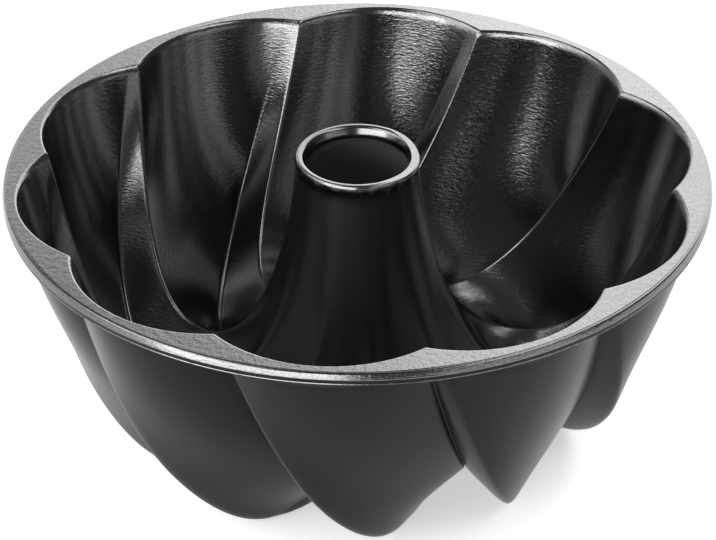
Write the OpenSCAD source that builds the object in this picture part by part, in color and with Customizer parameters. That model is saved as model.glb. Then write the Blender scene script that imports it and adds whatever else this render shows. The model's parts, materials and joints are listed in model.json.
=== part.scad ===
// Swirled ring cake pan: one aluminium casting with a non-stick lining.
// Z = 0 is the surface that the ten lobes stand on, and Z runs up the middle of the tube.
// The rim plane, the flat top of the flange, is the level that depths are measured from.

/* [Rim] */
// Outer diameter of the rim flange
rim_d = 250; // [249:1:280]
// Height of the flange's outer edge
rim_h = 4.2; // [3.6:0.1:7]
// Depth of the edge's widest line, its nose, below the rim plane
rim_nose = 1.9; // [1.6:0.1:2.4]
// How far the edge leans in from its nose up to the rim plane
rim_lean = 0.85; // [0.2:0.05:1.2]
// How far the edge is tucked in below its nose
rim_tuck = 0.3; // [0:0.05:0.8]
// Length that each corner of the edge is rounded over
rim_round = 0.5; // [0.2:0.05:0.7]
// Radius where the flange turns down into the bowl
mouth_round = 1.6; // [0.8:0.1:2.4]

/* [Swirl] */
// Number of lobes, and of the ribs between them
lobes = 10; // [8:1:12]
// Angle that a rib turns through on its way from the rim to the tube
swirl_angle = 41.5; // [0:0.5:50]
// Share of the swirl that is even, the rest gathers in the floor bend
swirl_even = 0.43; // [0:0.01:1]

/* [Rib crests] */
// Radius of the rib crests at the rim plane
rib_mouth_r = 110.8; // [108:0.1:113]
// Depth of the rib crests at their lowest
rib_depth = 80.7; // [74:0.1:87]
// Radius at which the rib crests are lowest
rib_floor_r = 63.9; // [58:0.1:68]
// Draft of the rib crests at the rim, in degrees from upright
rib_draft = 15.3; // [8:0.1:20]
// Length over which a rib crest keeps its draft below the rim
rib_wall_pull = 31; // [20:0.1:40]
// Reach of the floor bend from the lowest point towards the wall
rib_heel_pull = 25.3; // [18:0.1:32]
// Reach of the floor bend from the lowest point towards the tube
rib_toe_pull = 23; // [16:0.1:28]

/* [Lobe beds] */
// Radius of the lobes at the rim plane
lobe_mouth_r = 119.7; // [116:0.1:120.4]
// Depth of the lobes at their lowest
lobe_depth = 101.4; // [92:0.1:111]
// Radius at which the lobes are lowest
lobe_floor_r = 71.1; // [66:0.1:75]
// Draft of the lobes at the rim, in degrees from upright
lobe_draft = 11.4; // [6:0.1:16]
// Length over which a lobe keeps its draft below the rim
lobe_wall_pull = 40.6; // [30:0.1:50]
// Reach of the lobe's floor bend towards the wall
lobe_heel_pull = 23.2; // [16:0.1:30]
// Reach of the lobe's floor bend towards the tube
lobe_toe_pull = 14; // [10:0.1:20]

/* [Lobe shape] */
// Place of the crease at the rim, as a share of the lobe's width
crease_mouth = 0.06; // [0.04:0.01:0.2]
// How fast the crease moves to the lobe's middle on the way down
crease_shift = 0.146; // [0.05:0.001:0.2]
// Swell of the scoop beside the crease near the rim
scoop_swell = 0.82; // [0:0.01:1]
// How fast that swell turns into a hollow towards the floor
scoop_fall = 1.5; // [0:0.01:1.8]

/* [Tube] */
// Outer diameter of the lip around the tube's mouth
lip_d = 44.4; // [43.8:0.1:46]
// Height of the lip's top above the rim plane
lip_rise = 6.5; // [4:0.1:14]
// Width of the lip's flat top
lip_flat = 0.65; // [0.4:0.05:1.2]
// Height of the lip's outer side, from where it meets the tube to its flat top
lip_side = 1.9; // [1.2:0.1:2.4]
// Width of the rounding outside the flat top
lip_shoulder = 1.3; // [0.6:0.1:1.5]
// Width of the oval rounding that leads from the flat top into the bore
lip_throat = 2.1; // [1.5:0.1:2.4]
// Height of that oval rounding
lip_throat_h = 4.8; // [3:0.1:5.5]
// Drop from the lip's top to the top of the tube's own curve
tube_drop = 3.5; // [2.6:0.1:4]
// Outer diameter of the tube at the top of its own curve
tube_d = 43.6; // [42:0.1:44.2]
// Draft of the tube at its top, in degrees from upright
tube_draft = 4.6; // [2:0.1:8]
// Length over which the rib crests keep the tube's draft
tube_rib_pull = 50; // [35:0.1:60]
// Length over which the lobe beds keep the tube's draft
tube_lobe_pull = 75.7; // [60:0.1:85]

/* [Walls] */
// Thickness of the cast wall
wall = 2.5; // [2:0.1:3]
// Thickness of the non-stick lining
lining = 0.1; // [0.05:0.01:0.3]

/* [Hidden] */

// The path down the wall has the parameter t: 0 at the rim plane, 1 at the lowest
// point of the floor and 2 at the top of the tube. v runs across a lobe, from 0 on
// one rib crest to 1 on the next.
FLOOR = 1;
TOP = 2;
// Where the rib stops turning, where the crease has its full edge, and where the
// lobes start to melt into the tube's soft flutes and have done so
SWIRL_END = 1.81;
CREASE_FULL = 0.63;
MELT_START = 0.9;
MELT_END = 1.5;
// Half the stretch of v over which a wall's direction is taken: short for the coat, and
// wide for the outside, where a rib's two sides would cross
COAT_REACH = 0.02;
OUTSIDE_REACH = 0.06;
// Step between the coat's outer edge and the last rounded point of the flange's edge
EDGE_STEP = 0.05;
// As shares of the wall: the width and fall of the step below the lip, where the bare
// metal starts, and the drop from the lip's throat to the bore's first row
STEP_WIDTH = 0.3;
STEP_FALL = 0.18;
BORE_DROP = 0.8;

lobe_angle = 360 / lobes;
rim_r = rim_d / 2;
tube_r = tube_d / 2;
lip_r = lip_d / 2;
tube_top_z = lip_rise - tube_drop;

// Columns across one lobe, two of them on the flank, and rows along the path
columns = 10;
flank_columns = 2;
around = columns * lobes;
wall_rows = 18;
under_rows = 17;
corner_shares = [0, 0.5, 1];
// Points on the lip's outer side, as shares of its shoulder's width and of its height,
// and angles round the oval of its throat
shoulder_shares = [[0, 1], [0.4, 0.28], [0.65, 0.08]];
throat_angles = [35, 65, 90];

// Two guide curves hold the pan's section, each of two cubic arcs that meet at the
// floor: one along the rib crests and one along the beds of the lobes.
rib_guide = [
  [[rib_mouth_r, 0],
   [rib_mouth_r - rib_wall_pull * sin(rib_draft), -rib_wall_pull * cos(rib_draft)],
   [rib_floor_r + rib_heel_pull, -rib_depth],
   [rib_floor_r, -rib_depth]],
  [[rib_floor_r, -rib_depth],
   [rib_floor_r - rib_toe_pull, -rib_depth],
   [tube_r + tube_rib_pull * sin(tube_draft), tube_top_z - tube_rib_pull * cos(tube_draft)],
   [tube_r, tube_top_z]]];
lobe_guide = [
  [[lobe_mouth_r, 0],
   [lobe_mouth_r - lobe_wall_pull * sin(lobe_draft), -lobe_wall_pull * cos(lobe_draft)],
   [lobe_floor_r + lobe_heel_pull, -lobe_depth],
   [lobe_floor_r, -lobe_depth]],
  [[lobe_floor_r, -lobe_depth],
   [lobe_floor_r - lobe_toe_pull, -lobe_depth],
   [tube_r + tube_lobe_pull * sin(tube_draft), tube_top_z - tube_lobe_pull * cos(tube_draft)],
   [tube_r, tube_top_z]]];

function cubic(p, u) =
  pow(1 - u, 3) * p[0] + 3 * pow(1 - u, 2) * u * p[1] + 3 * (1 - u) * u * u * p[2] + pow(u, 3) * p[3];
function guide(arcs, t) = t <= FLOOR ? cubic(arcs[0], t) : cubic(arcs[1], t - FLOOR);
function clamp01(x) = min(max(x, 0), 1);
function ease(x) = let (u = clamp01(x)) u * u * (3 - 2 * u);

// Turn of a rib at t, part of it even and part gathered by the ease curve
function swirl(t) =
  swirl_angle * (swirl_even * clamp01(t / SWIRL_END) + (1 - swirl_even) * ease(t / SWIRL_END));

// Place of the crease across the lobe at t
function crease(t) = min(0.5, crease_mouth + crease_shift * t * (1 + t));

// Depth of the lobe across its width, 0 on the rib crests and 1 at its deepest: a
// plain arc at the rim, a steep flank and a long scoop in the wall, and a soft wave
// on the tube
function lobe_wave(t, v) =
  let (
    c = crease(t),
    x = v < c ? v / c : (1 - v) / (1 - c),
    swell = v < c ? 0 : scoop_swell - scoop_fall * clamp01(t),
    arc = 1 - pow(2 * v - 1, 2),
    scoop = x + swell * x * (1 - x),
    wave = (1 - cos(360 * v)) / 2,
    edge = ease(t / CREASE_FULL),
    melt = ease((t - MELT_START) / (MELT_END - MELT_START)))
  (1 - melt) * ((1 - edge) * arc + edge * scoop) + melt * wave;

// Radial flare of a quarter circle, where the wall meets the flat flange
function flare(t, z) =
  t > FLOOR || z <= -mouth_round ? 0
  : mouth_round - sqrt(max(0, pow(mouth_round, 2) - pow(z + mouth_round, 2)));

// Point of the lined surface: between the two guides, turned by the swirl
function inside(t, v) =
  let (
    w = v - floor(v),
    a = guide(rib_guide, t),
    p = a + (guide(lobe_guide, t) - a) * lobe_wave(t, w),
    r = p[0] + flare(t, p[1]),
    angle = swirl(t) + lobe_angle * v)
  [r * cos(angle), r * sin(angle), p[1]];

// Unit normal into the cavity, from the slopes along and across the lobe
function into_cavity(t, v, reach) =
  let (
    dt = 0.004,
    along = inside(min(t + dt, TOP), v) - inside(max(t - dt, 0), v),
    across = inside(t, v + reach) - inside(t, v - reach),
    n = cross(across, along))
  n / norm(n);
function beneath(t, v, depth, reach) = inside(t, v) - depth * into_cavity(t, v, reach);

// Column j of a row: two steps over the flank, the rest over the scoop
function column_v(t, j) =
  let (lobe = floor(j / columns), i = j - lobe * columns, c = crease(t))
  lobe + (i <= flank_columns ? c * i / flank_columns
                             : c + (1 - c) * (i - flank_columns) / (columns - flank_columns));

// Rows as lists of points: a round ring, a row beneath the lined surface, and a ring
// that has the tube's columns
function ring(r, z) =
  [for (j = [0 : around - 1]) let (a = j * 360 / around) [r * cos(a), r * sin(a), z]];
function surface_row(t, depth, reach) =
  [for (j = [0 : around - 1]) beneath(t, column_v(t, j), depth, reach)];
function turned_ring(r, z) =
  [for (j = [0 : around - 1])
    let (a = swirl(TOP) + lobe_angle * column_v(TOP, j)) [r * cos(a), r * sin(a), z]];

// Section of the lip: its outer side, the shoulder, the flat top and a quarter oval
flat_out = [lip_r - lip_shoulder, lip_rise];
flat_in = flat_out - [lip_flat, 0];
lip_line = concat(
  [for (s = shoulder_shares) [lip_r - s[0] * lip_shoulder, lip_rise - s[1] * lip_side]],
  [flat_out, flat_in],
  [for (a = throat_angles) flat_in - [lip_throat * sin(a), lip_throat_h * (1 - cos(a))]]);
function lip_row(i, depth) =
  let (
    run = lip_line[min(i + 1, len(lip_line) - 1)] - lip_line[max(i - 1, 0)],
    p = lip_line[i] - depth * [run[1], -run[0]] / norm(run))
  turned_ring(p[0], p[1]);

// Steps of t down the lined side: close together round the mouth, then even
mouth_t = mouth_round / (3 * rib_wall_pull * cos(rib_draft));
inside_steps = concat(
  [0, 0.14 * mouth_t, 0.5 * mouth_t],
  [for (i = [0 : wall_rows]) mouth_t + (TOP - mouth_t) * i / wall_rows]);

// All the lined rows, from the flange's edge over the bowl to inside the tube's mouth
function lined_rows(depth) = concat(
  [ring(rim_r - rim_lean - rim_round, -depth)],
  [for (t = inside_steps) surface_row(t, depth, COAT_REACH)],
  [for (i = [0 : len(lip_line) - 1]) lip_row(i, depth)]);

// Section of the flange's edge, with its three corners rounded
function towards(a, b, d) = a + (b - a) * d / norm(b - a);
function bend(a, corner, b) =
  [for (u = corner_shares) (1 - u) * (1 - u) * a + 2 * u * (1 - u) * corner + u * u * b];
foot = [rim_r - rim_tuck, -rim_h];
nose = [rim_r, -rim_nose];
brow = [rim_r - rim_lean, -lining];
edge_line = concat(
  bend(foot - [rim_round, 0], foot, towards(foot, nose, rim_round)),
  bend(towards(nose, foot, rim_round), nose, towards(nose, brow, rim_round)),
  bend(towards(brow, nose, rim_round), brow, brow - [rim_round - EDGE_STEP, 0]));

// The bare side, from the step below the lip down the bore, under the bowl and up to
// the rim
skin = wall + lining;
under_t = rim_h / (3 * rib_wall_pull * cos(rib_draft));
below_flange_t = 1.5 * under_t;
throat_end = lip_line[len(lip_line) - 1];
bore_t = TOP - (lip_throat_h + BORE_DROP * wall - tube_drop) / (3 * tube_rib_pull);
under_steps = [for (i = [0 : under_rows - 1])
  bore_t - (bore_t - below_flange_t) * i / (under_rows - 1)];
function under_flange_row() =
  [for (p = surface_row(under_t, skin, OUTSIDE_REACH)) [p[0], p[1], -rim_h]];
bare_rows = concat(
  [turned_ring(throat_end[0] + STEP_WIDTH * wall, throat_end[1] - STEP_FALL * wall)],
  [for (t = under_steps) surface_row(t, skin, OUTSIDE_REACH)],
  [under_flange_row()],
  [for (p = edge_line) ring(p[0], p[1])]);

function reversed(rows) = [for (i = [len(rows) - 1 : -1 : 0]) rows[i]];

// The pan stands on the lowest point of its lobes
stand_z = -min([for (row = bare_rows, p = row) p[2]]);

// Closed band of triangles over rows that come back to the first one. The later rows run
// back beneath the lined ones, so their quads are split the other way: both sides of a
// wall, and both solids where they meet, have the same triangles.
module closed_band(rows) {
  m = len(rows);
  turn = len(inside_steps) + len(lip_line) + 1;
  faces = [for (i = [0 : m - 1], j = [0 : around - 1])
    let (
      k = (i + 1) % m,
      l = (j + 1) % around,
      a = i * around + j,
      b = i * around + l,
      c = k * around + l,
      d = k * around + j)
    each i < turn ? [[a, c, b], [a, d, c]] : [[a, d, b], [b, d, c]]];
  translate([0, 0, stand_z])
    polyhedron(points = [for (row = rows) each row], faces = faces, convexity = 12);
}

module cast_body() {
  color([0.36, 0.37, 0.38])
    closed_band(concat(lined_rows(lining), bare_rows));
}

module nonstick_lining() {
  color([0.22, 0.22, 0.23])
    closed_band(concat(lined_rows(0), reversed(lined_rows(lining))));
}

cast_body();
nonstick_lining();
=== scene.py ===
# %% [markdown]
# # A swirled ring cake pan
#
# The real pan is one aluminium casting: a flat round flange, ten swirled lobes with a rib
# between each two, a floor and a hollow centre tube that ends in a rounded lip. A dark
# non-stick coat with a fine metallic grain lies over the flange, the bowl and the tube.
#
# The shape could be sculpted, or a profile could be spun and bent. Neither holds the
# sharp rib beside the soft scoop all the way down, so the surface is worked out here as a
# formula on a grid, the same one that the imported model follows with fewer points.

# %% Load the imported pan
import json
import bpy
import numpy as np
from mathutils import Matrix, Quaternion, Vector


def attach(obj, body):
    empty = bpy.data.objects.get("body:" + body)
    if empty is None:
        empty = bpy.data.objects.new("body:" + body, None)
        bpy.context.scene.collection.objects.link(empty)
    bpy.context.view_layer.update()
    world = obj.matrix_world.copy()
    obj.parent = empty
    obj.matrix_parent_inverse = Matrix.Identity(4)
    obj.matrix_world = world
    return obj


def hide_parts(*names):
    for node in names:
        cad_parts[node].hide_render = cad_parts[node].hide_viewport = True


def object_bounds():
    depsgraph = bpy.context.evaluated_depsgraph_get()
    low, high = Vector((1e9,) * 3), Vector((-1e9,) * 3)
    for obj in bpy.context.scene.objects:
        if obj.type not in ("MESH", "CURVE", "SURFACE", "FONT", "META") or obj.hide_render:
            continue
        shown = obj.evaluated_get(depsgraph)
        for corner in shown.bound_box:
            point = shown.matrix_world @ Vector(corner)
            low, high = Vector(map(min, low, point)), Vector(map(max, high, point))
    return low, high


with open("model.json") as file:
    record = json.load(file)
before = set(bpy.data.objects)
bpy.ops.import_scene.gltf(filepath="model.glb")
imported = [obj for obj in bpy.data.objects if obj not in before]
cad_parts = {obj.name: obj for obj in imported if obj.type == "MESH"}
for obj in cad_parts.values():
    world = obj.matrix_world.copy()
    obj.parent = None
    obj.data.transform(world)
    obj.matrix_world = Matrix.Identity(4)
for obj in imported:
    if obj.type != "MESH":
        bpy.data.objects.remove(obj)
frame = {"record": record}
cad_low, cad_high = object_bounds()
print("packed pan from", tuple(cad_low), "to", tuple(cad_high))

# %% [markdown]
# ## Sizes
#
# A pan like this is measured from its rim plane, the flat top of the flange. The rim
# plane's height and the flange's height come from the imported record, and the outer radius
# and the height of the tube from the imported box. The other sizes are the casting's own.

# %% Sizes of the pan, in metres and degrees
mm = 0.001
mounts = {mount["name"]: mount["pos_m"] for mount in frame["record"]["mounts"]}
rim_z = mounts["rim_top_face"][2]
rim_h = rim_z - mounts["rim_underside"][2]
rim_r = cad_high.x
lip_rise = cad_high.z - rim_z

lobes = 10
lobe_angle = 360 / lobes
swirl_angle = 41.5
swirl_even = 0.43
swirl_end = 1.81

coat_end = 1.6 * mm
mouth_round = 1.1 * mm
mouth_drop = 2.8 * mm

rib_mouth_r = 110.8 * mm
rib_depth = 80.7 * mm
rib_floor_r = 63.9 * mm
rib_draft = 15.3
rib_wall_pull = 31 * mm
rib_heel_pull = 25.3 * mm
rib_toe_pull = 23 * mm

lobe_mouth_r = 119.7 * mm
lobe_depth = 101.4 * mm
lobe_floor_r = 71.1 * mm
lobe_draft = 11.4
lobe_wall_pull = 40.6 * mm
lobe_heel_pull = 23.2 * mm
lobe_toe_pull = 14 * mm

lip_r = 22.2 * mm
lip_out_round = 0.8 * mm
lip_out_lean = 20
lip_out_side = 1.7 * mm
lip_flat = 0.5 * mm
lip_in_round = 1.4 * mm
lip_in_lean = 21
lip_in_side = 1.5 * mm
lip_in_turn = 6.0 * mm
tube_top_drop = 3.5 * mm
bore_drop = 6.8 * mm
tube_r = 21.8 * mm
tube_draft = 4.6
tube_rib_pull = 50 * mm
tube_lobe_pull = 75.7 * mm

wall = 2.5 * mm
lining = 0.1 * mm
skin = wall + lining
print(f"rim {2 * rim_r:.4f} m across, rim plane at {rim_z:.4f} m")

# %% [markdown]
# ## Two guide curves
#
# A cut through the pan shows two outlines: one along the top of a rib and one along the
# bed of a lobe. Each is two cubic curves that meet at the lowest point. The parameter t
# runs from 0 at the rim plane over 1 at the lowest point to 2 at the top of the tube.

# %% Guide curves
def slope(draft):
    """Unit step down a wall that leans by draft degrees: its outward and upward parts."""
    angle = np.radians(draft)
    return np.array([np.sin(angle), np.cos(angle)])


tube_top = np.array([tube_r, lip_rise - tube_top_drop])


def guide_arcs(mouth_r, depth, floor_r, draft, pulls, tube_pull):
    """Control points (radius, height) of the two cubic arcs of one guide curve: each
    end point is followed or led by a handle that is its pull long."""
    wall_pull, heel_pull, toe_pull = pulls
    mouth = np.array([mouth_r, 0])
    floor = np.array([floor_r, -depth])
    out = np.array([1, 0])
    down_tube = slope(tube_draft) * [1, -1] * tube_pull
    wall_arc = [mouth, mouth - slope(draft) * wall_pull, floor + out * heel_pull, floor]
    tube_arc = [floor, floor - out * toe_pull, tube_top + down_tube, tube_top]
    return np.array([wall_arc, tube_arc])


rib_arcs = guide_arcs(rib_mouth_r, rib_depth, rib_floor_r, rib_draft,
                      (rib_wall_pull, rib_heel_pull, rib_toe_pull), tube_rib_pull)
lobe_arcs = guide_arcs(lobe_mouth_r, lobe_depth, lobe_floor_r, lobe_draft,
                       (lobe_wall_pull, lobe_heel_pull, lobe_toe_pull), tube_lobe_pull)


def cubic(points, u):
    """Cubic curve: the four points weighted by (1-u)^3, 3(1-u)^2 u, 3(1-u) u^2 and u^3."""
    u = u[..., None]
    return ((1 - u) ** 3 * points[0] + 3 * (1 - u) ** 2 * u * points[1]
            + 3 * (1 - u) * u ** 2 * points[2] + u ** 3 * points[3])


def guide(arcs, t):
    """Point (radius, height) of a guide curve: the wall's arc up to t = 1, then the tube's."""
    wall_part = cubic(arcs[0], np.clip(t, 0, 1))
    tube_part = cubic(arcs[1], np.clip(t - 1, 0, 1))
    return np.where((t <= 1)[..., None], wall_part, tube_part)


print("rib crest at the floor:", guide(rib_arcs, np.array(1.0)).round(4))

# %% [markdown]
# ## Swirl, crease and scoop
#
# Across a lobe the parameter v runs from 0 on one rib to 1 on the next. Beside the first
# rib the metal drops steeply to a crease, and from there a long scoop climbs to the next
# rib. At the rim plane the lobe is a plain arc, and up the tube it melts into a soft
# wave, so three sections are blended with ease curves.

# %% The section across a lobe
crease_mouth = 0.06
crease_shift = 0.146
crease_full = 0.63
scoop_swell = 0.82
scoop_fall = 1.5
melt_start = 0.9
melt_end = 1.5
rib_round = 1.0 * mm


def ease(x):
    """Smooth step: u * u * (3 - 2u) with u clipped to 0..1."""
    u = np.clip(x, 0, 1)
    return u * u * (3 - 2 * u)


def swirl(t):
    """Turn of the ribs at t in degrees: an even part plus a part that eases in and out."""
    even = np.clip(t / swirl_end, 0, 1)
    return swirl_angle * (swirl_even * even + (1 - swirl_even) * ease(t / swirl_end))


def crease(t):
    """Place of the crease across the lobe: its place at the rim plus shift * t * (1 + t)."""
    return np.minimum(0.5, crease_mouth + crease_shift * t * (1 + t))


def lobe_wave(t, v):
    """Depth across a lobe, 0 on the ribs and 1 at the deepest: an arc 1 - (2v - 1)^2 at
    the rim, then a straight flank and a scoop x + swell * x * (1 - x), then a cosine."""
    v = v - np.floor(v)
    c = crease(t)
    x = np.where(v < c, v / c, (1 - v) / (1 - c))
    swell = np.where(v < c, 0, scoop_swell - scoop_fall * np.clip(t, 0, 1))
    arc = 1 - (2 * v - 1) ** 2
    scoop = x + swell * x * (1 - x)
    wave = (1 - np.cos(2 * np.pi * v)) / 2
    edge = ease(t / crease_full)
    melt = ease((t - melt_start) / (melt_end - melt_start))
    return (1 - melt) * ((1 - edge) * arc + edge * scoop) + melt * wave


def rounded_wave(t, v):
    """lobe_wave with its rib and crease rounded: the mean, with bell weights, over a
    stretch of v that is rib_round long to either side."""
    reach = rib_round / (guide(rib_arcs, t)[..., 0] * np.radians(lobe_angle))
    weights = np.array([1, 8, 28, 56, 70, 56, 28, 8, 1]) / 256
    offsets = np.linspace(-1, 1, len(weights))
    return sum(w * lobe_wave(t, v + o * reach) for w, o in zip(weights, offsets))


print("crease at the rim, floor and tube:", crease(np.array([0.0, 1.0, 2.0])))

# %% [markdown]
# ## The lined surface and the metal beneath it
#
# The lined surface lies between the two guides, turned by the swirl. Where the wall meets
# the flat flange it flares out in a quarter ellipse. Everything beneath it, the underside
# of the coat and the bare outside of the casting, is the same surface moved back along
# its normal. The outside takes its normal over a wider stretch, because a rib's two
# sides, moved by the whole wall, would cross.

# %% Surface functions
fine_reach = 0.004


def flare(t, z):
    """Radial flare of a quarter ellipse, mouth_round wide and mouth_drop deep, on the
    wall only, since the tube rises past the rim plane too."""
    rise = np.clip(z / mouth_drop + 1, 0, 1)
    return np.where(t <= 1, mouth_round * (1 - np.sqrt(1 - rise ** 2)), 0)


def inside(t, v):
    """Point of the lined surface: rib guide plus wave times (lobe guide - rib guide), as
    radius and height, at the angle swirl(t) + lobe_angle * v."""
    t, v = np.broadcast_arrays(np.asarray(t, float), np.asarray(v, float))
    rib = guide(rib_arcs, t)
    p = rib + (guide(lobe_arcs, t) - rib) * rounded_wave(t, v)[..., None]
    r = p[..., 0] + flare(t, p[..., 1])
    angle = np.radians(swirl(t) + lobe_angle * v)
    return np.stack([r * np.cos(angle), r * np.sin(angle), p[..., 1]], -1)


def into_cavity(t, v, reach):
    """Unit normal into the bowl: cross product of the slopes across and along the lobe,
    the first measured over reach in v to either side, the second over fine_reach in t."""
    along = inside(np.minimum(t + fine_reach, 2), v) - inside(np.maximum(t - fine_reach, 0), v)
    across = inside(t, v + reach) - inside(t, v - reach)
    normal = np.cross(across, along)
    return normal / np.linalg.norm(normal, axis=-1, keepdims=True)


def beneath(t, v, depth, reach=fine_reach):
    """The lined surface moved back along its normal by depth."""
    return inside(t, v) - depth * into_cavity(t, v, reach)


print("mouth of a lobe's bed:", inside(0, 0.5).round(4))


# %% [markdown]
# ## The grid
#
# Points crowd where the surface turns: at the ribs, at the crease and round the mouth.
# The columns follow the crease down the wall, so that it never cuts across a face.

# %% Columns across the lobes and rows down the wall
flank_columns = 10
scoop_columns = 24
flank_crowd = 0.5
scoop_crowd = 0.75
around = (flank_columns + scoop_columns) * lobes
wall_rows = 88
outside_rows = 84
mouth_rows = 9
lip_rows = 12
outside_reach = 0.06
outside_stop = 1.5


def crowd(n, share):
    """n + 1 steps from 0 to 1, closer at both ends: x - share * sin(2 pi x) / (2 pi)."""
    x = np.linspace(0, 1, n + 1)
    return x - share * np.sin(2 * np.pi * x) / (2 * np.pi)


def column_v(t):
    """v of every column at each t: over the flank up to the crease, then over the scoop."""
    c = crease(t)[:, None]
    flank = c * crowd(flank_columns, flank_crowd)[:-1]
    scoop = c + (1 - c) * crowd(scoop_columns, scoop_crowd)[:-1]
    one_lobe = np.concatenate([flank, scoop], axis=1)
    return (one_lobe[:, None, :] + np.arange(lobes)[None, :, None]).reshape(len(t), around)


# A cubic curve leaves its end point at 3 times its handle for each unit of t.
mouth_t = mouth_drop / (3 * rib_wall_pull * slope(rib_draft)[1])
under_t = rim_h / (3 * rib_wall_pull * slope(rib_draft)[1])
mouth_steps = mouth_t * (1 - np.sin(np.linspace(np.pi / 2, 0, mouth_rows + 1)))
inside_t = np.concatenate([mouth_steps[:-1], np.linspace(mouth_t, 2, wall_rows)])
bore_t = 2 - (bore_drop - tube_top_drop) / (3 * tube_rib_pull)
outside_t = np.linspace(bore_t, outside_stop * under_t, outside_rows)


def surface_rows(t, depth, reach=fine_reach):
    """Rows of points beneath the lined surface, one row for each t."""
    return beneath(t[:, None], column_v(t), depth, reach)


def ring(r, z, t=0.0):
    """One round row at radius r and height z, with the angles that the columns have at t."""
    angle = np.radians(swirl(t) + lobe_angle * column_v(np.array([t]))[0])
    return np.stack([r * np.cos(angle), r * np.sin(angle), np.full(around, float(z))], -1)


print(around, "columns,", len(inside_t), "rows inside,", len(outside_t), "rows outside")

# %% [markdown]
# ## The lip and the lined side
#
# The tube ends in a lip: a leaning outer side, a narrow flat and a throat that turns down
# into the bore. It could be a bevelled ring of its own, but the casting has no joint there,
# so its rows go on from the tube's, with the same columns.

# %% Rows of the lined side
lip_join = 0.1
flat_shares = np.array([0.0, 0.04, 0.2, 0.5, 0.8, 0.96])
ground_tilt = 0.096
ground_start = 10.8 * mm


def between(first, last, shares):
    """Rows that lie at these shares of the way from one row to another."""
    return first + (last - first) * shares[:, None, None]


def lip_profile(depth):
    """Section of the lip as (radius, height): a leaning outer side, an arc, a narrow
    flat, a second arc, a slope and a third arc that ends upright in the bore, all moved
    inwards by depth."""
    lean = np.radians(lip_out_lean)
    turn = np.linspace(0, np.pi / 2 - lean, lip_rows)
    side = lip_out_side * np.array([np.sin(lean), -np.cos(lean)])
    arc_end = lip_out_round * np.array([np.cos(lean), np.sin(lean) - 1])
    flat_out = np.array([lip_r, lip_rise]) - [side[0] + arc_end[0], 0]
    arc = flat_out + lip_out_round * np.stack([np.cos(turn + lean), np.sin(turn + lean) - 1], -1)
    flat_in = flat_out - [lip_flat, 0]
    inner_lean = np.radians(lip_in_lean)
    turn_in = np.linspace(0, np.pi / 2 - inner_lean, lip_rows)
    brow = flat_in - lip_in_round * np.stack([np.sin(turn_in), 1 - np.cos(turn_in)], -1)
    slope_end = brow[-1] - lip_in_side * np.array([np.sin(inner_lean), np.cos(inner_lean)])
    rest = np.linspace(inner_lean, 0, lip_rows)[1:]
    throat = slope_end - lip_in_turn * np.stack(
        [np.cos(rest) - np.cos(inner_lean), np.sin(inner_lean) - np.sin(rest)], -1)
    inner = np.concatenate([brow, [slope_end], throat])
    foot = (tube_top + arc[0] + side) / 2
    outer = [foot, arc[0] + side, arc[0] + side * lip_join]
    line = np.concatenate([outer, arc, [flat_out - [lip_flat / 2, 0]], inner])
    run = np.gradient(line, axis=0)
    run /= np.linalg.norm(run, axis=1, keepdims=True)
    return line - depth * np.stack([run[:, 1], -run[:, 0]], -1)


def lip(depth):
    """Rows round the lip, cut by a slightly tilted plane where the real one is ground."""
    rows = np.stack([ring(r, z, 2.0) for r, z in lip_profile(depth)])
    ground = lip_rise - depth - ground_tilt * np.maximum(0, rows[..., 0] - ground_start)
    rows[..., 2] = np.minimum(rows[..., 2], ground)
    return rows


def lined_rows(depth):
    """Rows from the flange's flat edge over the bowl and the tube to the lip's inside."""
    edge = ring(rim_r - coat_end, -depth)
    down = surface_rows(inside_t, depth)
    return np.concatenate([between(edge, down[0], flat_shares), down, lip(depth)])


print(len(lined_rows(0)), "lined rows, lip drawn with", len(lip_profile(0)))

# %% [markdown]
# ## From rows to a mesh
#
# Each piece is a closed shell: its rows run down one side and back along the other, and
# the last row joins the first. So there is no open edge, and no pole to close.

# %% Mesh helper
def closed_band(name, rows):
    """Mesh object from rows of points: quads between each row and the next, the last row
    joined to the first, shaded smooth, its place in the mesh and not in the object."""
    m = len(rows)
    i, j = np.meshgrid(np.arange(m), np.arange(around), indexing="ij")
    k = (i + 1) % m
    l = (j + 1) % around
    quads = np.stack([i * around + j, k * around + j, k * around + l, i * around + l], -1)
    points = rows.reshape(-1, 3) + [0, 0, rim_z]
    mesh = bpy.data.meshes.new(name)
    mesh.from_pydata(points.tolist(), [], quads.reshape(-1, 4).tolist())
    mesh.shade_smooth()
    mesh.validate()
    piece = bpy.data.objects.new(name, mesh)
    bpy.context.scene.collection.objects.link(piece)
    print(name, len(mesh.polygons) * 2, "triangles, top at", points[:, 2].max().round(5))
    return piece


# %% [markdown]
# ## The non-stick coat
#
# The coat is sprayed on and baked, a skin a tenth of a millimetre thick here. A Solidify
# modifier could give a sheet its thickness, but the metal has to meet the coat face to
# face. So the shell follows the lined surface on both sides, and the casting is drawn
# from the same lower rows.

# %% Piece: non-stick coat
coat_rows = np.concatenate([lined_rows(0), lined_rows(lining)[::-1]])
coat_piece = closed_band("nonstick_coat", coat_rows)

# %% [markdown]
# ## The casting
#
# The casting carries the coat. It could be cut from a block with Booleans, which leave
# ragged faces on a swirl like this. Instead its rows start beneath the coat, go down inside
# the tube's bore, under the bowl and up to the flange, and close round the flange's edge.
# The edge leans out to a nose, draws in to a waist below it and ends in a narrow foot.

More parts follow.
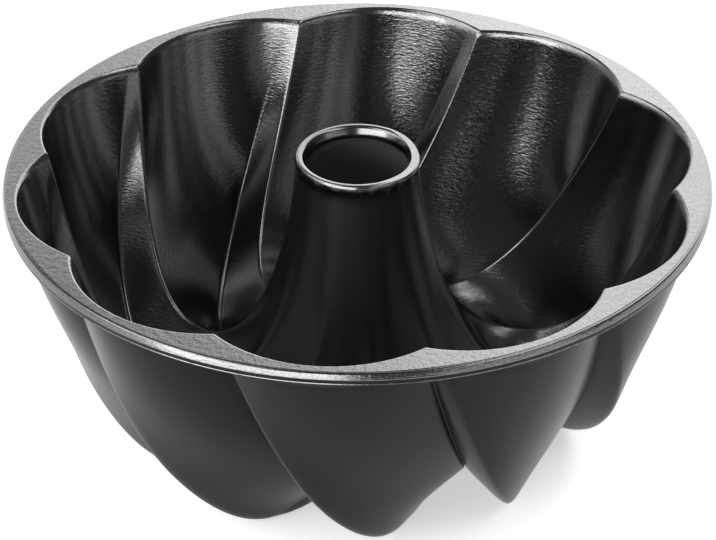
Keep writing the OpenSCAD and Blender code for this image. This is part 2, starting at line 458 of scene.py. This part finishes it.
# %% Section of the flange's edge
def rounded_path(corners, radii, steps):
    """Points along straight runs whose corners are replaced by arcs: each arc touches
    both runs, radius * tan(turn / 2) before and after its corner."""
    points = [corners[0]]
    for before, corner, after, radius in zip(corners, corners[1:], corners[2:], radii):
        back = (before - corner) / np.linalg.norm(before - corner)
        on = (after - corner) / np.linalg.norm(after - corner)
        half = np.arccos(np.dot(back, on)) / 2
        middle = corner + (back + on) / np.linalg.norm(back + on) * radius / np.sin(half)
        start = corner + back * radius / np.tan(half) - middle
        end = corner + on * radius / np.tan(half) - middle
        share = np.linspace(0, 1, steps)[:, None]
        swing = np.pi - 2 * half
        arc = (np.sin((1 - share) * swing) * start + np.sin(share * swing) * end) / np.sin(swing)
        points.extend(middle + arc)
    return np.array(points + [corners[-1]])


edge_lean = 0.8 * mm
edge_nose = 2.25 * mm
edge_waist = 0.32 * mm
foot_inset = 0.12 * mm
foot_h = 0.45 * mm
corner_steps = 7
edge_radii = np.array([0.12, 0.2, 0.4, 0.8]) * mm
edge_corners = np.array([
    [rim_r - 2 * coat_end, -rim_h], [rim_r - foot_inset, -rim_h],
    [rim_r - edge_waist, foot_h - rim_h], [rim_r, -edge_nose],
    [rim_r - edge_lean, -lining], [rim_r - coat_end, -lining]])
edge_line = rounded_path(edge_corners, edge_radii, corner_steps)
print("flange's edge:", len(edge_line), "points from underside to top")

# %% Piece: casting
collar_step = 0.35 * mm
collar_fall = 1.3


def bare_rows():
    """Rows of the bare side: bore, underside of the bowl, flange's underside and edge."""
    collar_r, collar_z = lip_profile(lining)[-1]
    collar = np.stack([ring(collar_r + collar_step, collar_z - collar_step, 2.0),
                       ring(collar_r + 2 * collar_step, collar_z - collar_fall * collar_step, 2.0)])
    outside = surface_rows(outside_t, skin, outside_reach)
    under = surface_rows(np.array([under_t]), skin, outside_reach)[0]
    under[:, 2] = -rim_h
    edge = np.stack([ring(r, z) for r, z in edge_line[:-1]])
    return np.concatenate([collar, outside, between(under, edge[0], flat_shares), edge])


casting_piece = closed_band("casting", np.concatenate([lined_rows(lining), bare_rows()]))

# %% [markdown]
# ## Shader maths as plain expressions
#
# Node trees are long to build by hand. This small class wraps a node's output socket, so
# that an expression such as `0.3 + 0.1 * grain` adds its Math nodes by itself.

# %% Socket class
class Socket:
    """An output socket that can be added, subtracted and multiplied like a number."""

    def __init__(self, tree, output):
        self.tree = tree
        self.output = output

    def node(self, kind, settings=None, **inputs):
        """Adds a node of this kind, sets its settings first and then its sockets."""
        return add_node(self.tree, kind, settings, **inputs)

    def maths(self, operation, a, b):
        """Adds a Math node that works on two sockets or numbers."""
        return self.node("ShaderNodeMath", {"operation": operation}, **{"0": a, "1": b})

    def __add__(self, other):
        return self.maths("ADD", self, other)

    def __mul__(self, other):
        return self.maths("MULTIPLY", self, other)

    def __sub__(self, other):
        return self.maths("SUBTRACT", self, other)

    def __rsub__(self, other):
        return self.maths("SUBTRACT", other, self)

    __radd__ = __add__
    __rmul__ = __mul__


def add_node(tree, kind, settings=None, output=0, **inputs):
    """A node of this kind with its settings and inputs. Inputs are named by the socket's
    name with _ for a space, or by its number. Returns the chosen output, wrapped."""
    made = tree.nodes.new(kind)
    for name, value in (settings or {}).items():
        setattr(made, name, value)
    for name, value in inputs.items():
        socket = made.inputs[int(name)] if name.isdigit() else made.inputs[name.replace("_", " ")]
        if isinstance(value, Socket):
            tree.links.new(value.output, socket)
        else:
            socket.default_value = value
    return Socket(tree, made.outputs[output])


print("sockets can be added, subtracted and multiplied")

# %% [markdown]
# ## Patterns that both finishes use
#
# Both finishes have a fine grain, soft clouds and a part that changes with the place on
# the pan. Noise and distances on Object coordinates give these without a seam, where a
# picture wrapped round the lobes would stretch.

# %% Pattern helpers
def grain(tree, scale, detail=2.0, roughness=0.5, upright=1.0):
    """Noise from 0 to 1 on Object coordinates, scale in cycles per metre sideways and
    upright times as many cycles per metre in height."""
    place = add_node(tree, "ShaderNodeTexCoord", output="Object")
    squeezed = add_node(tree, "ShaderNodeMapping", Vector=place, Scale=(1, 1, upright))
    return add_node(tree, "ShaderNodeTexNoise", Vector=squeezed, Scale=scale,
                    Detail=detail, Roughness=roughness)


def new_material(name):
    """An empty node material with a Principled shader, as (material, tree, shader)."""
    material = bpy.data.materials.new(name)
    material.use_nodes = True
    tree = material.node_tree
    return material, tree, tree.nodes["Principled BSDF"]


def tint(tree, dark, light, amount):
    """A colour between two others, by an amount socket. Each may be a colour or a socket.
    The Mix node's colour sockets are its inputs 6 and 7 and its output 2."""
    first, second = (c if isinstance(c, Socket) else (*c, 1) for c in (dark, light))
    return add_node(tree, "ShaderNodeMix", {"data_type": "RGBA"}, output=2,
                    **{"0": amount, "6": first, "7": second})


def fade(value, start, end):
    """1 below start, 0 above end and an eased step between them."""
    return value.node("ShaderNodeMapRange", {"interpolation_type": "SMOOTHSTEP"}, Value=value,
                      From_Min=start, From_Max=end, To_Min=1.0, To_Max=0.0)


def from_axis(tree):
    """Distance from the pan's axis and height, both in metres, from Object coordinates."""
    place = add_node(tree, "ShaderNodeTexCoord", output="Object")
    level = add_node(tree, "ShaderNodeVectorMath", {"operation": "MULTIPLY"},
                     **{"0": place, "1": (1, 1, 0)})
    radius = add_node(tree, "ShaderNodeVectorMath", {"operation": "LENGTH"}, output="Value",
                      **{"0": level})
    return radius, add_node(tree, "ShaderNodeSeparateXYZ", output="Z", Vector=place)


print("helpers: grain, new_material, tint, fade and from_axis")

# %% [markdown]
# ## Finish of the non-stick coat
#
# The coat is a charcoal paint full of fine metal flakes. It mirrors softly and darkly,
# like a rough metal, with a sandy sparkle and fine level lines. It could be a dielectric
# paint under a clear coat, but its mirror images take the paint's own grey, which a dark
# metallic shader does by itself. Round the tube the coat's colour is darkened as painted
# shade, and there it is duller and smoother.

# %% Material: non-stick coat
coat_dark = (0.071, 0.0695, 0.07)
coat_light = (0.236, 0.231, 0.235)
# Darker grey painted round the tube as shade.
tube_painted_shade = (0.03, 0.0295, 0.03)
flake_scale, line_scale, cloud_scale = 1500, 420, 22
line_squeeze = 3.5
grain_height = 0.1 * mm
tube_near, tube_far, smooth_far = 30 * mm, 90 * mm, 70 * mm
lip_foot, lip_side = 103 * mm, 107 * mm


def coat_material():
    """Flakes and clouds move the grey, flakes and level lines the bump, and two fades by
    distance from the axis smooth the coat round the tube, below its lip, and darken its
    colour there as painted shade."""
    material, tree, shader = new_material("charcoal_nonstick_coat")
    flakes = grain(tree, flake_scale, 2.0, 0.6)
    lines = grain(tree, line_scale, 2.0, 0.6, line_squeeze)
    clouds = grain(tree, cloud_scale, 3.0, 0.55)
    radius, height = from_axis(tree)
    # Painted shade: this mask darkens the colour round the tube and the floor near it, and dulls
    # the coat there.
    tube = fade(radius, tube_near, tube_far) * fade(height, lip_foot, lip_side)
    smooth = fade(radius, tube_near, smooth_far)
    finish = tint(tree, coat_dark, coat_light, flakes + clouds * 0.3 - 0.15)
    colour = tint(tree, finish, tube_painted_shade, tube * 0.85)
    roughness = 0.12 + 0.06 * flakes + 0.03 * clouds + 0.2 * tube
    bump = add_node(tree, "ShaderNodeBump", Strength=1.0, Distance=grain_height,
                    Height=flakes * 0.2 + lines * (0.8 - 0.7 * smooth))
    tree.links.new(colour.output, shader.inputs["Base Color"])
    tree.links.new(roughness.output, shader.inputs["Roughness"])
    tree.links.new(bump.output, shader.inputs["Normal"])
    shader.inputs["Metallic"].default_value = 1.0
    return material


coat = coat_material()
print("coat:", len(coat.node_tree.nodes), "nodes")

# %% [markdown]
# ## Finish of the outside
#
# Outside the pan is a darker, smoother charcoal without the sparkle. It could share the
# coat's material, but in the photograph its edges shine and its faces stay nearly black, as
# a dark paint does, so it is a dielectric with a low reflection. High in the bore it greys.

# %% Material: outside of the casting
outside_dark = (0.004, 0.004, 0.0043)
outside_light = (0.0075, 0.0075, 0.008)
bore_grey = (0.05, 0.05, 0.052)
outside_flake_scale, outside_cloud_scale = 2200, 18
bore_near, bore_far = 21 * mm, 24 * mm
bore_low, bore_high = 60 * mm, 105 * mm


def outside_material():
    """Clouds move the dark grey, flakes the fine bump, and a lighter grey rises with height
    within the bore's radius."""
    material, tree, shader = new_material("charcoal_outside_finish")
    flakes = grain(tree, outside_flake_scale, 2.0, 0.6)
    clouds = grain(tree, outside_cloud_scale, 3.0, 0.55)
    radius, height = from_axis(tree)
    bore = fade(radius, bore_near, bore_far) * (1 - fade(height, bore_low, bore_high))
    finish = tint(tree, outside_dark, outside_light, clouds)
    colour = tint(tree, finish, bore_grey, bore)
    roughness = 0.2 + 0.08 * flakes + 0.04 * clouds
    bump = add_node(tree, "ShaderNodeBump", Strength=0.15, Distance=2 * grain_height,
                    Height=flakes)
    tree.links.new(colour.output, shader.inputs["Base Color"])
    tree.links.new(roughness.output, shader.inputs["Roughness"])
    tree.links.new(bump.output, shader.inputs["Normal"])
    shader.inputs["Metallic"].default_value = 0.0
    shader.inputs["Specular IOR Level"].default_value = 0.1
    return material


outside = outside_material()
print("outside:", len(outside.node_tree.nodes), "nodes")

# %% [markdown]
# ## Materials and bodies
#
# Each piece gets its finish, rides on the pan's one body and stands for its solid in the
# imported model. The coat was sprayed over the flange's edge as well, so the casting's faces
# there carry the coat, except in the waist below the nose, which keeps the near-black outside
# finish as painted shade. A vertex mask could draw that line, but faces in whole rows give it
# a clean edge.

# %% Dress the pieces
def dress(piece, material, node):
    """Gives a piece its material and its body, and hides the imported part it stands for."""
    piece.data.materials.append(material)
    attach(piece, "root")
    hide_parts(node)


dress(coat_piece, coat, "nonstick_lining")
dress(casting_piece, outside, "cast_body")
casting_piece.data.materials.append(coat)
bands = np.zeros(len(casting_piece.data.polygons) // around, dtype=np.int32)
edge_coat_and_shade_bands = bands[-len(edge_line) + 1:]
edge_coat_and_shade_bands[:] = 1
edge_coat_and_shade_bands[0] = 0
# Painted shade: the waist's rows below the nose keep the near-black outside finish.
edge_coat_and_shade_bands[corner_steps + 1:2 * corner_steps + 1] = 0
casting_piece.data.polygons.foreach_set("material_index", np.repeat(bands, around))
print(int(bands.sum()), "rows of faces on the casting carry the coat")

# %% [markdown]
# ## Camera
#
# The camera stands in front and looks down at about 33 degrees. It could stand close with
# a short lens, but the rim's far and near halves are almost alike in the photograph, which
# takes a long lens from further away. The pan is turned a little, so that no rib points
# straight at the lens.

# %% Camera
view_turn = np.radians(6.75)
view_pitch = np.radians(33.36)
view_roll = np.radians(-0.17)
camera_back = 0.921
camera_up = 0.5642
camera_side = 0.00015
sensor = 36.0
lens = 153.94


def studio(x, y, z):
    """Place given as right, away from the camera and up, turned to the pan's own axes."""
    c, s = np.cos(view_turn), np.sin(view_turn)
    return Vector((x * c - y * s, x * s + y * c, z))


camera = bpy.data.objects.new("camera", bpy.data.cameras.new("camera"))
camera.data.sensor_width = sensor
camera.data.lens = lens
camera.location = studio(camera_side, -camera_back, rim_z + camera_up)
looking = studio(0, np.cos(view_pitch), -np.sin(view_pitch))
rolled = looking.to_track_quat("-Z", "Y") @ Quaternion((0, 0, 1), view_roll)
camera.rotation_euler = rolled.to_euler()
bpy.context.scene.collection.objects.link(camera)
bpy.context.scene.camera = camera
print("camera at", tuple(round(c, 4) for c in camera.location))

# %% [markdown]
# ## Floor
#
# The pan stands on a plain pale sheet. A brighter lamp could burn it out to white, and the
# pan with it. Instead the sheet glows a little for the rays that see it, by the Light Path
# node, and it keeps the pan's shadow.

# %% Floor
floor_half = 3.0
floor_glow = 0.5
floor_mesh = bpy.data.meshes.new("floor")
corners = [(-floor_half, -floor_half, 0), (floor_half, -floor_half, 0),
           (floor_half, floor_half, 0), (-floor_half, floor_half, 0)]
floor_mesh.from_pydata(corners, [], [(0, 1, 2, 3)])
floor = bpy.data.objects.new("floor", floor_mesh)
bpy.context.scene.collection.objects.link(floor)


def seen_by(tree, *rays):
    """1 for a ray of one of these kinds and 0 for any other."""
    return sum(add_node(tree, "ShaderNodeLightPath", output=ray) for ray in rays)


floor_material, floor_tree, floor_shader = new_material("pale_floor")
floor_shader.inputs["Base Color"].default_value = (0.82, 0.82, 0.82, 1)
floor_shader.inputs["Roughness"].default_value = 0.9
floor_shader.inputs["Emission Color"].default_value = (1, 1, 1, 1)
floor_seen = seen_by(floor_tree, "Is Glossy Ray", "Is Transmission Ray", "Is Camera Ray")
floor_tree.links.new((floor_seen * floor_glow).output, floor_shader.inputs["Emission Strength"])
floor_mesh.materials.append(floor_material)
print("floor", 2 * floor_half, "m wide")

# %% [markdown]
# ## Studio light
#
# The coat is a mirror for its room, so the light is drawn as the room: a dim ground level
# and soft windows round the pan. Area lamps would do the same, but a window in the world
# is placed by its angles alone, and angles are what a reflection shows. The camera sees
# plain white all round. Gloss and glass see that white below the horizon, and above it the
# windows.

# %% Directions in the world
world = bpy.data.worlds.new("studio")
world.use_nodes = True
bpy.context.scene.world = world
world_tree = world.node_tree
direction = add_node(world_tree, "ShaderNodeTexCoord", output="Generated")
height = add_node(world_tree, "ShaderNodeSeparateXYZ", output="Z", Vector=direction)
level = add_node(world_tree, "ShaderNodeVectorMath", {"operation": "MULTIPLY"},
                 **{"0": direction, "1": (1, 1, 0)})
heading = add_node(world_tree, "ShaderNodeVectorMath", {"operation": "NORMALIZE"}, **{"0": level})


def window(middle, half, side_soft, low, high, soft, glow):
    """A soft window of light: middle is its heading, clockwise from straight behind the
    pan, half its half width, low and high its elevations, all in degrees. It is glow times
    a fade across, by the cosine to its heading, times a fade up, by the sine of elevation."""
    turn = np.radians(middle)
    ahead = add_node(world_tree, "ShaderNodeVectorMath", {"operation": "DOT_PRODUCT"},
                     output="Value", **{"0": heading, "1": studio(np.sin(turn), np.cos(turn), 0)})
    outer, inner = np.cos(np.radians([half + side_soft, half - side_soft]))
    rise = np.sin(np.radians([low - soft, low + soft, high - soft, high + soft]))
    upward = (1 - fade(height, rise[0], rise[1])) * fade(height, rise[2], rise[3])
    return glow * (1 - fade(ahead, outer, inner)) * upward


print("the pan is turned by", round(float(np.degrees(view_turn)), 2), "degrees in this room")

# %% Windows of light
ambient = 0.16
horizon_soft = 0.02
# One window a row: middle, half width, softness at the sides, lowest, highest, softness
# below and above, and glow, where 1 is plain white.
windows = [
    (26, 26, 6, -5, 46, 6, 3.0),    # tall window behind, to the right
    (-16, 20, 12, -5, 34, 6, 1.9),  # dimmer window behind, to the left
    (212, 28, 5, -4, 25, 4, 5.8),   # key window in front, to the left
    (250, 32, 8, 26, 66, 6, 3.0),   # high window on the left
    (262, 26, 8, 12, 30, 5, 1.7),   # its lower part
    (244, 16, 8, -2, 22, 6, 1.1),   # soft side of the key window
    (125, 22, 8, 38, 58, 5, 3.0),   # high window in front, to the right
    (82, 45, 8, 50, 70, 5, 2.0),    # ceiling on the right
    (135, 22, 6, -2, 12, 3, 1.0),   # low glow in front, to the right
    (280, 40, 10, -5, 35, 8, 0.6),  # pale wall on the left
    (45, 20, 8, 44, 66, 6, 1.6)]    # top of the window behind
room = sum((window(*row) for row in windows), start=ambient)
below_horizon = fade(height, -horizon_soft, 0.0)
seen = (seen_by(world_tree, "Is Camera Ray")
        + seen_by(world_tree, "Is Glossy Ray", "Is Transmission Ray") * below_horizon)
strength = room.maths("MAXIMUM", room, seen)
background = world_tree.nodes["Background"]
background.inputs["Color"].default_value = (1, 1, 1, 1)
world_tree.links.new(strength.output, background.inputs["Strength"])
print(len(windows), "windows of light in the world")

# %% [markdown]
# ## View transform
#
# Colours are shown through the Standard view transform. The visual pan has to stay inside
# the imported one's box.

# %% Standard view transform
bpy.context.scene.view_settings.view_transform = "Standard"
